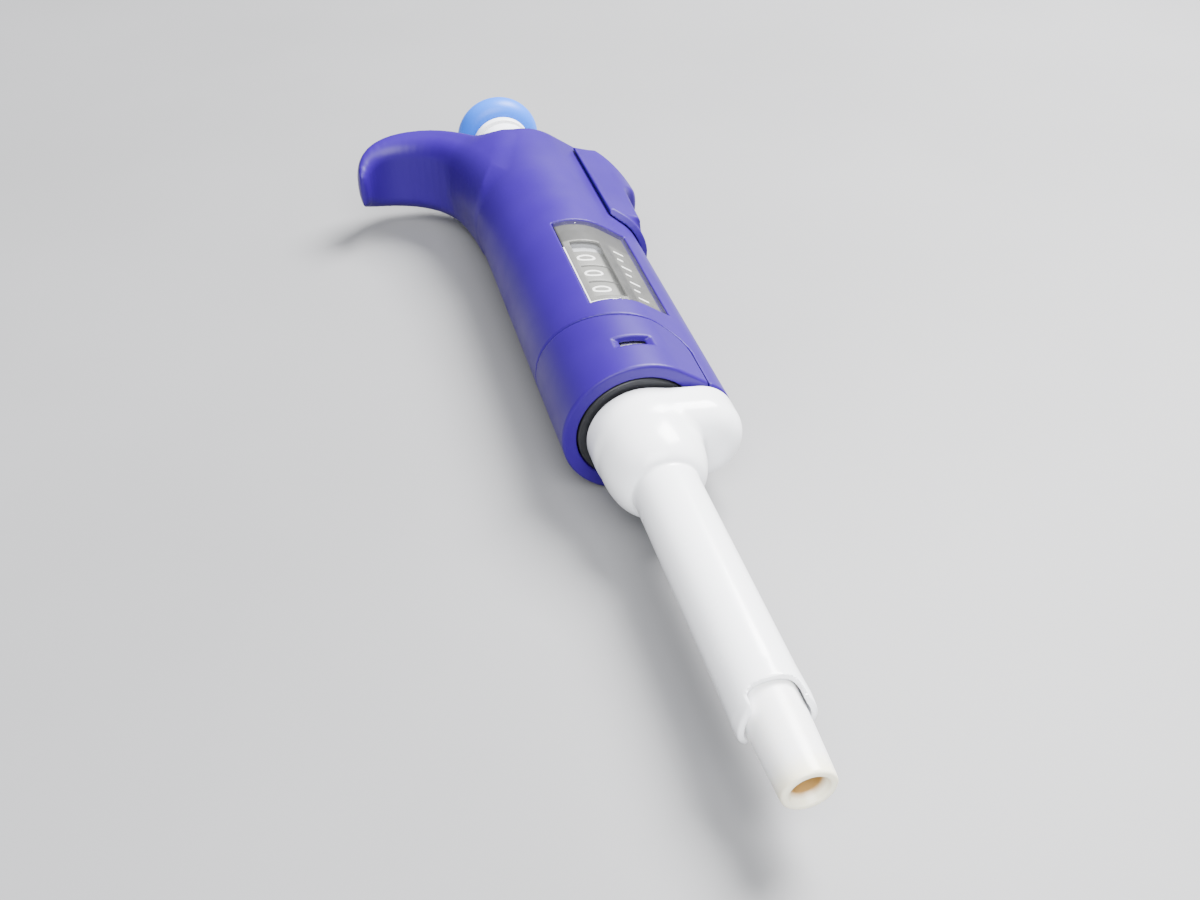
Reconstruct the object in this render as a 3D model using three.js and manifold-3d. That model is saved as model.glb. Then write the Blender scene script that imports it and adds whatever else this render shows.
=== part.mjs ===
import * as THREE from 'three';
import { mergeVertices } from 'three/addons/utils/BufferGeometryUtils.js';
import Module from 'manifold-3d';

// An adjustable single-channel micropipette of the 1 to 5 ml class, lying on the flat of its back.
// Every shape is drawn in the pipette's own frame, in millimetres: Y runs up the long axis from the
// nozzle (y = 0 at its orifice) to the push button, +X is the ejector side, -X the finger hook, +Z the display.
// The last lines move that frame so that the origin is under the middle of the whole object.

// ---------- driving dimensions ----------
const NOZZLE_LOW = -1.6;       // end of the nozzle; its orifice starts at y = 0, below a countersink
const CAP_TOP = 236.4;
const HOOK_REACH = 43.5;       // axis to the tip of the finger hook
const EJECTOR_REACH = 27.8;    // axis to the tip of the thumb ledge
const AXIS_HEIGHT = 15;        // axis above the surface that the back rests on
const GAP = 0.3;               // clearance between neighbouring pieces

// grip: a round body and a smaller round channel beside it
const GRIP_R = 16;
const CHANNEL_R = 9.5;
const CHANNEL_X = 11.3;
const GRIP_LOW = 89;
const GRIP_TOP = 205;
const SHOULDER = 7;            // rounding of the grip's upper end
const BORE_R = 13.8;
const BORE_TOP = 198;
const NECK_R = 9.8;            // hole in the upper end for the bush

// lower cover of the grip, and the slot that the calibration key goes through
const COVER_TOP = 107.6;
const COVER_SIDE = 15;         // where its edge runs down the channel side
const COVER_CORNER = 8;
const COVER_BORE_R = 13;
const KEY_SLOT = { x: 1.7, y: 98.5, width: 7.8, height: 3 };

// display window
const WINDOW = { x0: -2.9, x1: 14.6, y0: 114.7, y1: 149.2 };
const LENS_THICK = 1;
const MASK_THICK = 0.6;

// counter: three number wheels on a fixed tube
const WHEEL_R = 13.4;
const WHEEL_BORE_R = 9.8;
const WHEEL_WIDTH = 6.3;
const WHEEL_PITCH = 6.8;
const WHEEL_Y = 122.4;         // middle of the lowest wheel

// ejector rod and its spring, in the channel
const ROD_X = 17.4;
const ROD_R = 1.2;
const SPRING_CHANNEL_R = 2.5;

// piston and plunger
const CYLINDER_R = 10.1;
const PISTON_Y = 112.9;
const STEM_R = 7.8;
const STEM_LOW = 186;
const PLUNGER_ROD_R = 2;
const SPIGOT_R = 6.2;          // the stem's narrow top, which the ring and the cap fit over
const CAP_LOW = 224.6;
const CAP_R = 11.7;

// tip ejector sleeve
const SLEEVE_R = 6.85;
const COLLAR_R = 10.8;
const COLLAR_TOP = 88.6;
const LOBE_R = 9.4;

// fineness of the round shapes
const ROUND = 32;
const SMALL_ROUND = 16;
const ARC = 9;

// ---------- solids ----------
const wasm = await Module();
wasm.setup();

function vertexOf(array, i) {
  return new THREE.Vector3().fromArray(array, i * 3);
}

function signedVolume(positions, index) {
  let sum = 0;
  for (let t = 0; t < index.length; t += 3) {
    const [a, b, c] = [0, 1, 2].map((k) => vertexOf(positions, index[t + k]));
    sum += a.dot(b.cross(c));
  }
  return sum / 6;
}

// Merges a geometry's shared vertices, drops its collapsed triangles and turns its faces outwards.
function solid(geometry) {
  const bare = geometry.clone();
  bare.deleteAttribute('normal');
  bare.deleteAttribute('uv');
  const merged = mergeVertices(bare, 1e-4);
  const positions = Float32Array.from(merged.attributes.position.array);
  const kept = [];
  for (let t = 0; t < merged.index.count; t += 3) {
    const [a, b, c] = [0, 1, 2].map((k) => merged.index.getX(t + k));
    if (a !== b && b !== c && c !== a) kept.push(a, b, c);
  }
  if (signedVolume(positions, kept) < 0) kept.reverse();
  const mesh = new wasm.Mesh({ numProp: 3, vertProperties: positions, triVerts: Uint32Array.from(kept) });
  mesh.merge();
  return new wasm.Manifold(mesh);
}

function geometryOf(shape) {
  const mesh = shape.getMesh();
  const geometry = new THREE.BufferGeometry();
  geometry.setAttribute('position', new THREE.BufferAttribute(Float32Array.from(mesh.vertProperties), 3));
  geometry.setIndex(Array.from(mesh.triVerts));
  geometry.computeVertexNormals();
  return geometry;
}

function joined(...shapes) {
  return shapes.reduce((sum, shape) => sum.add(shape));
}

function cut(shape, ...cutters) {
  return cutters.reduce((rest, cutter) => rest.subtract(cutter), shape);
}

// A body of revolution about Y from [radius, y] corners; a profile that starts off the axis is a ring.
function turned(corners, segments = ROUND) {
  const points = corners.map(([r, y]) => new THREE.Vector2(r, y));
  if (corners[0][0] > 0) points.push(points[0].clone());
  return solid(new THREE.LatheGeometry(points, segments));
}

function disc(radius, low, high, segments = ROUND) {
  return turned([[0, low], [radius, low], [radius, high], [0, high]], segments);
}

function ring(outer, inner, low, high, segments = ROUND) {
  return turned([[inner, low], [outer, low], [outer, high], [inner, high]], segments);
}

function block(x0, x1, y0, y1, z0, z1) {
  const box = new THREE.BoxGeometry(x1 - x0, y1 - y0, z1 - z0);
  box.translate((x0 + x1) / 2, (y0 + y1) / 2, (z0 + z1) / 2);
  return solid(box);
}

// An outline in (x, z) extruded along Y.
function alongY(outline, low, high) {
  const prism = new THREE.ExtrudeGeometry(outline, { depth: high - low, bevelEnabled: false, curveSegments: ARC });
  prism.rotateX(Math.PI / 2);
  prism.translate(0, high, 0);
  return solid(prism);
}

// An outline in (x, z) extruded along Y, with both ends rounded.
function roundedAlongY(outline, low, high, radius, steps = 4) {
  const prism = new THREE.ExtrudeGeometry(outline, {
    depth: high - low - 2 * radius,
    bevelThickness: radius,
    bevelSize: radius,
    bevelOffset: -radius,
    bevelSegments: steps,
    curveSegments: ARC,
  });
  prism.rotateX(Math.PI / 2);
  prism.translate(0, high - radius, 0);
  return solid(prism);
}

// An outline in (x, y) extruded along Z.
function alongZ(outline, low, high) {
  const prism = new THREE.ExtrudeGeometry(outline, { depth: high - low, bevelEnabled: false, curveSegments: ARC });
  prism.translate(0, 0, low);
  return solid(prism);
}

// An outline in (z, y) that is the same on both sides of z = 0, extruded along X.
function alongX(outline, low, high) {
  const prism = new THREE.ExtrudeGeometry(outline, { depth: high - low, bevelEnabled: false, curveSegments: ARC });
  prism.rotateY(Math.PI / 2);
  prism.translate(low, 0, 0);
  return solid(prism);
}

class Helix extends THREE.Curve {
  constructor(radius, low, high, turns) {
    super();
    Object.assign(this, { radius, low, high, turns });
  }

  getPoint(t) {
    const angle = 2 * Math.PI * this.turns * t;
    const y = THREE.MathUtils.lerp(this.low, this.high, t);
    return new THREE.Vector3(this.radius * Math.cos(angle), y, this.radius * Math.sin(angle));
  }
}

function spring(radius, wire, low, high, turns) {
  const section = new THREE.Shape();
  section.absarc(0, 0, wire, 0, 2 * Math.PI, false);
  const coil = new THREE.ExtrudeGeometry(section, {
    steps: Math.round(turns * 10),
    curveSegments: 3,
    extrudePath: new Helix(radius, low + wire, high - wire, turns),
  });
  return solid(coil);
}

// ---------- outlines ----------
// Two circles and their common tangents: the section of the grip, of its offsets and of the sleeve's collar.
function pairOutline(bigR, smallR, smallX) {
  const lean = Math.acos((bigR - smallR) / smallX);
  const outline = new THREE.Shape();
  outline.absarc(0, 0, bigR, lean, 2 * Math.PI - lean, false);
  outline.absarc(smallX, 0, smallR, -lean, lean, false);
  outline.closePath();
  return outline;
}

function gripOutline(offset = 0) {
  return pairOutline(GRIP_R + offset, CHANNEL_R + offset, CHANNEL_X);
}

// The area of the lower cover seen from the display side: square at the hook side, with one round corner.
function coverOutline(grow) {
  const side = COVER_SIDE + grow;
  const top = COVER_TOP + grow;
  const outline = new THREE.Shape();
  outline.moveTo(-GRIP_R - 2, GRIP_LOW - 1);
  outline.lineTo(side, GRIP_LOW - 1);
  outline.lineTo(side, top - COVER_CORNER);
  outline.absarc(side - COVER_CORNER, top - COVER_CORNER, COVER_CORNER, 0, Math.PI / 2, false);
  outline.quadraticCurveTo(-4, top + 0.6, -GRIP_R - 2, top + 5.6);
  outline.closePath();
  return outline;
}

// ---------- grip ----------
// Finger hook: its side view (x, y) met by its top view (x, z), which narrows towards the tip.
// Its root is hollowed where the button's cap comes down.
function fingerHook() {
  const side = new THREE.Shape();
  side.moveTo(-2, 196);
  side.lineTo(-2, 203.5);
  side.bezierCurveTo(-9, 204.5, -13, 219.8, -27, 220.5);
  side.bezierCurveTo(-36, 221, -HOOK_REACH, 216, -HOOK_REACH, 209.4);
  side.bezierCurveTo(-HOOK_REACH, 205.8, -42, 205.2, -41, 207.3);
  side.bezierCurveTo(-38.6, 211.6, -33, 212.5, -26.5, 209.3);
  side.bezierCurveTo(-20, 206, -16.2, 200, -13, 182);
  side.lineTo(-8, 182);
  side.closePath();
  const above = new THREE.Shape();
  above.moveTo(-2, -14);
  above.lineTo(-2, 14);
  above.bezierCurveTo(-12, 13.8, -14, 11.4, -26, 10.6);
  above.bezierCurveTo(-36, 10, -HOOK_REACH, 9.6, -HOOK_REACH, 0);
  above.bezierCurveTo(-HOOK_REACH, -9.6, -36, -10, -26, -10.6);
  above.bezierCurveTo(-14, -11.4, -12, -13.8, -2, -14);
  const hook = alongZ(side, -15, 15).intersect(alongY(above, 180, 226));
  return cut(hook, disc(CAP_R + 0.7, GRIP_TOP, 230));
}

// The flat of the back, which the pipette rests on.
function backCutter() {
  return block(-30, 30, GRIP_LOW - 1, GRIP_TOP + 1, -30, -AXIS_HEIGHT);
}

function windowRecess(grow, depth) {
  const area = block(WINDOW.x0 - grow, WINDOW.x1 + grow, WINDOW.y0 - grow, WINDOW.y1 + grow, 8.7 - grow, 20);
  return cut(area, alongY(gripOutline(-depth), WINDOW.y0 - 5, WINDOW.y1 + 5));
}

// The slot under the thumb panel, where the ejector button's leg slides, and the rod's channel below it.
function ejectorChannel() {
  const slot = block(15, 24, 162.7, 184.3, -2.2, 2.2);
  const springRoom = disc(SPRING_CHANNEL_R, 118.5, 164, SMALL_ROUND).translate([ROD_X, 0, 0]);
  const guide = disc(ROD_R + GAP, GRIP_LOW - 1, 119, SMALL_ROUND).translate([ROD_X, 0, 0]);
  return joined(slot, springRoom, guide);
}

// The cover's share of the grip; the grip keeps a rib round the ejector rod.
function coverRegion(grow) {
  const rib = block(12.3 + grow, 30, GRIP_LOW - 2, COVER_TOP + 9, -4.7 + grow, 4.7 - grow);
  return cut(alongZ(coverOutline(grow), -20, 20), rib);
}

function handleShell() {
  const body = joined(
    alongY(gripOutline(), GRIP_LOW, 188),
    roundedAlongY(gripOutline(), 160, GRIP_TOP, SHOULDER),
    fingerHook(),
  );
  return cut(
    body,
    backCutter(),
    disc(BORE_R, GRIP_LOW - 1, BORE_TOP),
    disc(NECK_R, BORE_TOP - 1, GRIP_TOP + 1),
    windowRecess(GAP, LENS_THICK + 0.2),
    block(WINDOW.x0 + 1.2, WINDOW.x1 - 1.4, WINDOW.y0 + 1.3, WINDOW.y1 - 1.2, 8, 20),
    ejectorChannel(),
    coverRegion(GAP),
  );
}

function lowerCover() {
  const skirt = alongY(gripOutline(), GRIP_LOW, COVER_TOP + 9).intersect(coverRegion(0));
  const tongue = cut(ring(BORE_R - GAP, COVER_BORE_R, COVER_TOP - 1, COVER_TOP + 3), block(10, 20, 100, 120, -20, 20));
  const slot = KEY_SLOT;
  const halfWidth = slot.width / 2;
  const halfHeight = slot.height / 2;
  return cut(
    joined(skirt, tongue),
    disc(COVER_BORE_R, GRIP_LOW - 1, COVER_TOP + 9),
    backCutter(),
    block(slot.x - halfWidth, slot.x + halfWidth, slot.y - halfHeight, slot.y + halfHeight, 8, 20),
  );
}

function displayWindow() {
  const area = block(WINDOW.x0, WINDOW.x1, WINDOW.y0, WINDOW.y1, 8.7, 20);
  const skin = cut(
    alongY(gripOutline(), WINDOW.y0 - 3, WINDOW.y1 + 3),
    alongY(gripOutline(-LENS_THICK), WINDOW.y0 - 4, WINDOW.y1 + 4),
  );
  return skin.intersect(area);
}

// Plate behind the window, with one opening for the three number wheels.
function displayMask() {
  const outside = LENS_THICK + 0.35;
  const skin = cut(
    alongY(gripOutline(-outside), WINDOW.y0 - 3, WINDOW.y1 + 3),
    alongY(gripOutline(-outside - MASK_THICK), WINDOW.y0 - 4, WINDOW.y1 + 4),
  );
  const area = block(WINDOW.x0 + 1.5, WINDOW.x1 - 1.8, WINDOW.y0 + 1.6, WINDOW.y1 - 1.5, 8.4, 20);
  const opening = block(-0.9, 6.2, WINDOW.y0 + 3, 141.5, 8, 20);
  return cut(skin.intersect(area), opening);
}

function topBush() {
  const hole = STEM_R + 0.5;
  return turned([
    [hole, 194.8], [BORE_R - GAP, 194.8], [BORE_R - GAP, BORE_TOP - GAP],
    [NECK_R - GAP, BORE_TOP - GAP], [NECK_R - GAP, GRIP_TOP - 0.2], [hole, GRIP_TOP - 0.2],
  ]);
}

// ---------- counter and volume mechanism ----------
function counterAxle() {
  return turned([
    [PLUNGER_ROD_R + 0.4, 117.4], [BORE_R - GAP, 117.4], [BORE_R - GAP, 118.9],
    [WHEEL_BORE_R - GAP, 118.9], [WHEEL_BORE_R - GAP, 139.2], [7.6, 139.2], [7.6, 119.1], [PLUNGER_ROD_R + 0.4, 119.1],
  ]);
}

function numberWheel() {
  const half = WHEEL_WIDTH / 2;
  return turned([
    [WHEEL_BORE_R, -half], [WHEEL_R - 0.3, -half], [WHEEL_R, -half + 0.3],
    [WHEEL_R, half - 0.3], [WHEEL_R - 0.3, half], [WHEEL_BORE_R, half],
  ]);
}

// Turned by the push button's stem; its flange drives the highest wheel.
function driveSleeve() {
  return turned([
    [STEM_R + 0.4, 139.5], [WHEEL_R - 0.3, 139.5], [WHEEL_R - 0.3, 141.2],
    [9.3, 141.2], [9.3, 194.4], [STEM_R + 0.4, 194.4],
  ]);
}

function keySlots(width, low, high, outer) {
  return block(-outer, outer, low, high, -width / 2, width / 2);
}

function chassisTube() {
  return cut(ring(BORE_R - GAP, 12, 141.8, 194.4), keySlots(3.2, 169, 192.5, 20));
}

// Travels on the drive sleeve's thread and sets where the plunger stops; its two keys stop it turning.
function stopNut() {
  const keys = keySlots(2.6, 186, 190, 13.2);
  return cut(joined(ring(11.7, 9.6, 186, 190), keys), disc(9.6, 180, 196));
}

// ---------- plunger ----------
function buttonCap() {
  const profile = [
    [0, CAP_LOW + 6.3], [SPIGOT_R + GAP, CAP_LOW + 6.3], [SPIGOT_R + GAP, CAP_LOW],
    [8.6, CAP_LOW], [10, CAP_LOW + 1.1], [11.1, CAP_LOW + 2.5],
  ];
  const domeFrom = CAP_LOW + 4.2;
  const rise = CAP_TOP - domeFrom;
  for (let step = 0; step <= 6; step += 1) {
    const angle = (step / 6) * (Math.PI / 2);
    profile.push([CAP_R * Math.cos(angle), domeFrom + rise * Math.sin(angle)]);
  }
  profile[profile.length - 1][0] = 0;
  return turned(profile);
}

function buttonRing() {
  return ring(STEM_R + 0.2, SPIGOT_R + GAP, CAP_LOW - 2.6, CAP_LOW - GAP);
}

function buttonStem() {
  return turned([
    [0, 194.3], [PLUNGER_ROD_R + GAP, 194.3], [PLUNGER_ROD_R + GAP, STEM_LOW],
    [STEM_R, STEM_LOW], [STEM_R, CAP_LOW - 2.9], [SPIGOT_R, CAP_LOW - 2.9], [SPIGOT_R, CAP_LOW + 6], [0, CAP_LOW + 6],
  ], 32);
}

function plungerRod() {
  return disc(PLUNGER_ROD_R, PISTON_Y + 2, 194, SMALL_ROUND);
}

// Fixed on the rod: the spring pushes on its rim, and its nose meets the blow-out washer.
function springCollar() {
  const hole = PLUNGER_ROD_R + 0.25;
  return turned([[hole, 145.5], [5, 145.5], [5, 154], [6.9, 154], [6.9, 157], [hole, 157]], 32);
}

function piston() {
  const top = PISTON_Y + 3.8;
  const grooveLow = PISTON_Y + 1.1;
  const grooveHigh = PISTON_Y + 2.9;
  const groove = 8.3;
  const socket = PLUNGER_ROD_R + GAP;
  return turned([
    [0, PISTON_Y], [9.6, PISTON_Y], [9.6, grooveLow], [groove, grooveLow], [groove, grooveHigh],
    [9.6, grooveHigh], [9.6, top], [socket, top], [socket, PISTON_Y + 1.7], [0, PISTON_Y + 1.7],
  ]);
}

function sealRing(middleR, sectionR) {
  const corners = [];
  for (let step = 0; step < 6; step += 1) {
    const angle = (step / 6) * 2 * Math.PI;
    corners.push([middleR + sectionR * Math.cos(angle), sectionR * Math.sin(angle)]);
  }
  return turned(corners);
}

// ---------- lower end ----------
// One moulding: the cylinder that the piston runs in, and the long shaft down to the nozzle.
function tipCone() {
  return turned([
    [2.6, 0], [3.6, NOZZLE_LOW], [4.3, NOZZLE_LOW], [4.8, NOZZLE_LOW + 0.5], [5.25, 9], [5.4, 16],
    [5.4, 71], [8.9, 78.5], [8.9, 91.3],
    [11.2, 91.3], [11.2, 117.1], [CYLINDER_R, 117.1], [CYLINDER_R, 92.5],
    [3.4, 91.2], [2.6, 84],
  ]);
}

function tipFilter() {
  return turned([[0, 5.5], [1.6, 5.5], [2.3, 6.2], [2.3, 11], [0, 11]], SMALL_ROUND);
}

function retainingRing() {
  return turned([
    [9.3, GRIP_LOW], [12.7, GRIP_LOW], [12.7, 95.8], [11.5, 95.8], [11.5, 91], [9.3, 91],
  ]);
}

function calibrationNut() {
  const body = ring(12.7, 11.5, 96.2, 106.3);
  const holes = [];
  for (let step = 0; step < 4; step += 1) {
    holes.push(block(-1, 1, 100.2, 102.2, 10, 15).rotate([0, step * 90 + 45, 0]));
  }
  return cut(body, ...holes);
}

// Collar, side lobe and tube in one moulding; two ears at its end push the tip off.
function ejectorSleeve() {
  const tubeAndCollar = turned([
    [0, 11.4], [SLEEVE_R, 11.4], [7.05, 14], [SLEEVE_R, 20], [SLEEVE_R, 69.8], [8.3, 70.6], [9.8, 73],
    [10.6, 76.5], [COLLAR_R, 80], [COLLAR_R, COLLAR_TOP], [0, COLLAR_TOP],
  ]);
  const wholeLobe = roundedAlongY(pairOutline(COLLAR_R - 0.01, LOBE_R, CHANNEL_X), 78.2, 100, 5.5);
  const lobe = cut(wholeLobe, block(-30, 30, COLLAR_TOP, 110, -30, 30));
  const cavity = turned([
    [0, 5], [5.75, 5], [5.75, 69.5], [9.3, 75], [9.3, 95], [0, 95],
  ]);
  return cut(
    joined(tubeAndCollar, lobe),
    cavity,
    disc(ROD_R + GAP, 83, 95, SMALL_ROUND).translate([ROD_X, 0, 0]),
    block(-4.6, 4.6, 5, 15.8, -10, 10),
  );
}

// ---------- ejector ----------
// Side view of the thumb ledge, which stands out from the panel.
function ledgeOutline() {
  const outline = new THREE.Shape();
  outline.moveTo(15, 197);
  outline.lineTo(19.6, 199.4);
  outline.bezierCurveTo(23, 196.5, 26.6, 189.5, EJECTOR_REACH, 182.5);
  outline.bezierCurveTo(EJECTOR_REACH, 179.5, 26.4, 177.8, 25, 176.6);
  outline.bezierCurveTo(23.8, 175.6, 22.9, 174.6, 22.5, 172);
  outline.lineTo(22.4, 160);
  outline.lineTo(15, 160);
  outline.closePath();
  return outline;
}

// The panel seen from the side: straight edges between round ends.
function panelOutline() {
  const outline = new THREE.Shape();
  outline.moveTo(-11, 160);
  outline.bezierCurveTo(-8, 157, -4.5, 155.3, 0, 155.3);
  outline.bezierCurveTo(4.5, 155.3, 8, 157, 11, 160);
  outline.lineTo(11, 195);
  outline.bezierCurveTo(8, 198.4, 4.5, 200, 0, 200);
  outline.bezierCurveTo(-4.5, 200, -8, 198.4, -11, 195);
  outline.closePath();
  return outline;
}

function ejectorButton() {
  const reach = alongX(panelOutline(), 14.2, 40);
  const roundLedge = new THREE.Shape();
  roundLedge.absellipse(13, 0, EJECTOR_REACH - 13, 7.8, 0, 2 * Math.PI, false);
  const panelOutside = pairOutline(GRIP_R + 0.9, 10.4, 12.2);
  const outside = joined(
    alongY(panelOutside, 148, 190),
    roundedAlongY(panelOutside, 165, 200, 5),
    alongZ(ledgeOutline(), -10, 10).intersect(alongY(roundLedge, 150, 202)),
  );
  const leg = block(15.4, 21.5, 172, 184, -1.9, 1.9);
  const clearGrip = joined(
    alongY(gripOutline(GAP), 140, 188),
    roundedAlongY(gripOutline(GAP), 160, GRIP_TOP + GAP, SHOULDER),
  );
  const saddle = cut(outside.intersect(reach), clearGrip);
  return cut(
    joined(saddle, leg),
    disc(ROD_R + GAP, 164, 177.2, SMALL_ROUND).translate([ROD_X, 0, 0]),
  );
}

// ---------- finishes ----------
function finish(color, roughness, metalness = 0) {
  return new THREE.MeshStandardMaterial({ color, roughness, metalness });
}

const FINISHES = {
  grip: finish(0x4a3ec4, 0.5),
  window: finish(0x9a9c98, 0.12),
  mask: finish(0x3a3b3a, 0.6),
  wheel: finish(0xb9bab4, 0.5),
  cap: finish(0x4fa3f0, 0.4),
  white: finish(0xf2f4f6, 0.35),
  ivory: finish(0xf3eed8, 0.35),
  black: finish(0x18181a, 0.5),
  steel: finish(0xb8bbbf, 0.25, 1),
  brass: finish(0xc9a75a, 0.35, 1),
  inner: finish(0x8e9094, 0.55),
  rubber: finish(0x202022, 0.8),
  filter: finish(0xb8863c, 0.9),
};

// ---------- assembly ----------
const frame = new THREE.Group();

function place(name, shape, material, position = [0, 0, 0]) {
  const mesh = new THREE.Mesh(geometryOf(shape), FINISHES[material]);
  mesh.name = name;
  mesh.position.set(...position);
  frame.add(mesh);
}

place('handle_shell', handleShell(), 'grip');
place('lower_cover', lowerCover(), 'grip');
place('display_window', displayWindow(), 'window');
place('display_mask', displayMask(), 'mask');
place('top_bush', topBush(), 'white');

place('counter_axle', counterAxle(), 'inner');
['counter_wheel_coarse', 'counter_wheel_middle', 'counter_wheel_fine'].forEach((name, step) => {
  place(name, numberWheel(), 'wheel', [0, WHEEL_Y + step * WHEEL_PITCH, 0]);
});
place('drive_sleeve', driveSleeve(), 'inner');
place('chassis_tube', chassisTube(), 'inner');
place('stop_nut', stopNut(), 'brass');

place('button_cap', buttonCap(), 'cap');
place('button_ring', buttonRing(), 'white');
place('button_stem', buttonStem(), 'white');
place('plunger_rod', plungerRod(), 'steel');
place('spring_collar', springCollar(), 'brass');
place('piston', piston(), 'inner');
place('piston_seal', sealRing(9.25, 0.6), 'rubber', [0, PISTON_Y + 2, 0]);
place('primary_spring', spring(6.2, 0.5, 119.4, 153.7, 7), 'steel');
place('blowout_spring', spring(4, 0.6, 119.4, 123.7, 2.5), 'steel');
place('blowout_washer', ring(5.2, PLUNGER_ROD_R + GAP, 124, 125.2, 32), 'steel');

place('tip_cone', tipCone(), 'ivory');
place('tip_filter', tipFilter(), 'filter');
place('retaining_ring', retainingRing(), 'black');
place('calibration_nut', calibrationNut(), 'inner');

place('ejector_sleeve', ejectorSleeve(), 'white');
place('ejector_button', ejectorButton(), 'grip');
place('ejector_rod', disc(ROD_R, 83.3, 176.9, SMALL_ROUND), 'steel', [ROD_X, 0, 0]);
place('ejector_clip', ring(2.2, ROD_R + 0.2, 143.4, 144.2, SMALL_ROUND), 'steel', [ROD_X, 0, 0]);
place('ejector_spring', spring(1.85, 0.3, 119.3, 143.1, 9), 'steel', [ROD_X, 0, 0]);

// Origin under the middle of the object, on the surface it rests on.
frame.position.set((HOOK_REACH - EJECTOR_REACH) / 2, -(NOZZLE_LOW + CAP_TOP) / 2, AXIS_HEIGHT);

const micropipette = new THREE.Group();
micropipette.add(frame);

export default micropipette;
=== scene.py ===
import math
import bmesh
import bpy
import numpy as np
from mathutils import Matrix, Vector


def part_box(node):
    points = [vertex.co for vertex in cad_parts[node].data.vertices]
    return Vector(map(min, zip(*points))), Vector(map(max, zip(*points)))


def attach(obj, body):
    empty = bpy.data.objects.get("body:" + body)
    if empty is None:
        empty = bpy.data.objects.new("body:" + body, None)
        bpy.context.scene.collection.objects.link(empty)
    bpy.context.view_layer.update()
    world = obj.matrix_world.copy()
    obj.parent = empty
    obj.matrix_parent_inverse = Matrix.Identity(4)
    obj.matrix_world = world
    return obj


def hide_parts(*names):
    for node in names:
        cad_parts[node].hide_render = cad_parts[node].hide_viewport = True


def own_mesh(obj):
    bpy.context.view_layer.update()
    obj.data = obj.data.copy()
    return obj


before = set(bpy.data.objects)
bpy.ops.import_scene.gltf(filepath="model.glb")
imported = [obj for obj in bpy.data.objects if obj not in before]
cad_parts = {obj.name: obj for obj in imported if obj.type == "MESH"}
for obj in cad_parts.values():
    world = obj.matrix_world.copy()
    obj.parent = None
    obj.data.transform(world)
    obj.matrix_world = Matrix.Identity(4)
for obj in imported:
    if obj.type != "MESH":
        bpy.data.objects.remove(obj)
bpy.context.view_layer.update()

# ---------------------------------------------------------------------------
# The pipette's own frame, in millimetres: Y up the long axis from the nozzle
# (y = 0 at its orifice), +X the ejector side, -X the finger hook, +Z the display.
# ---------------------------------------------------------------------------
MM = 0.001
NOZZLE_LOW = -1.6
rod_low, rod_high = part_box("plunger_rod")
tip_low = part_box("tip_cone")[0]
ORIGIN = np.array([
    (rod_low.x + rod_high.x) / 2 / MM,
    tip_low.y / MM - NOZZLE_LOW,
    (rod_low.z + rod_high.z) / 2 / MM,
])


def row(point):
    """A point of the pipette's frame, in the row frame in metres."""
    return tuple((np.array(point, float) + ORIGIN) * MM)


# ---------------------------------------------------------------------------
# Distance fields: negative inside, in millimetres
# ---------------------------------------------------------------------------
def meet(a, b, r):
    """Where a and b are both inside, with the edge between them rounded."""
    return np.minimum(np.maximum(a, b), -r) + np.hypot(np.maximum(a + r, 0), np.maximum(b + r, 0))


def join(a, b, r):
    """Where a or b is inside, with the corner between them filled."""
    return -meet(-a, -b, r)


def remove(a, b, r):
    """a without b, with a rounded edge."""
    return meet(a, -b, r)


def pair(x, z, big, small, gap):
    """Two circles on the X axis and their common tangents."""
    side = np.abs(z)
    s = (big - small) / gap
    c = math.sqrt(1 - s * s)
    k = c * x - s * side
    flank = c * side + s * x - big
    return np.where(k < 0, np.hypot(x, z) - big, np.where(k > c * gap, np.hypot(x - gap, z) - small, flank))


def rectangle(u, v, u0, u1, v0, v1):
    """A rectangle of the u, v plane."""
    du = np.maximum(u0 - u, u - u1)
    dv = np.maximum(v0 - v, v - v1)
    return np.minimum(np.maximum(du, dv), 0) + np.hypot(np.maximum(du, 0), np.maximum(dv, 0))


def polygon(u, v, points):
    """A closed outline of the u, v plane."""
    shape = np.broadcast(u, v).shape
    best = np.full(shape, 1e9)
    sign = np.ones(shape)
    for (ax, ay), (bx, by) in zip(points, points[-1:] + points[:-1]):
        ex, ey = bx - ax, by - ay
        if ex * ex + ey * ey < 1e-12:
            continue
        wx, wy = u - ax, v - ay
        t = np.clip((wx * ex + wy * ey) / (ex * ex + ey * ey), 0, 1)
        best = np.minimum(best, (wx - ex * t) ** 2 + (wy - ey * t) ** 2)
        above, below, left = v >= ay, v < by, ex * wy > ey * wx
        sign = np.where((above & below & left) | (~above & ~below & ~left), -sign, sign)
    return sign * np.sqrt(best)


def curve(start, *pieces, steps=10):
    """Points along straight and cubic pieces: a piece is one point, or two handles and an end."""
    points = [start]
    for piece in pieces:
        if len(piece) == 2:
            points.append(piece)
            continue
        p = [np.array(points[-1], float)] + [np.array(piece[i:i + 2], float) for i in (0, 2, 4)]
        for i in range(1, steps + 1):
            t = i / steps
            s = 1 - t
            q = s ** 3 * p[0] + 3 * s ** 2 * t * p[1] + 3 * s * t * t * p[2] + t ** 3 * p[3]
            points.append((float(q[0]), float(q[1])))
    return points


# ---------------------------------------------------------------------------
# Meshes
# ---------------------------------------------------------------------------
def stations(*spans):
    """Coordinates with a step of their own in each span (start, stop, step)."""
    out = []
    for start, stop, step in spans:
        n = max(1, round((stop - start) / step))
        out.extend(np.linspace(start, stop, n, endpoint=False))
    out.append(spans[-1][1])
    return np.array(out, float)


PULLS = 4
LEAST_SLOPE = 0.25
LONGEST_MOVE = 0.45


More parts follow.
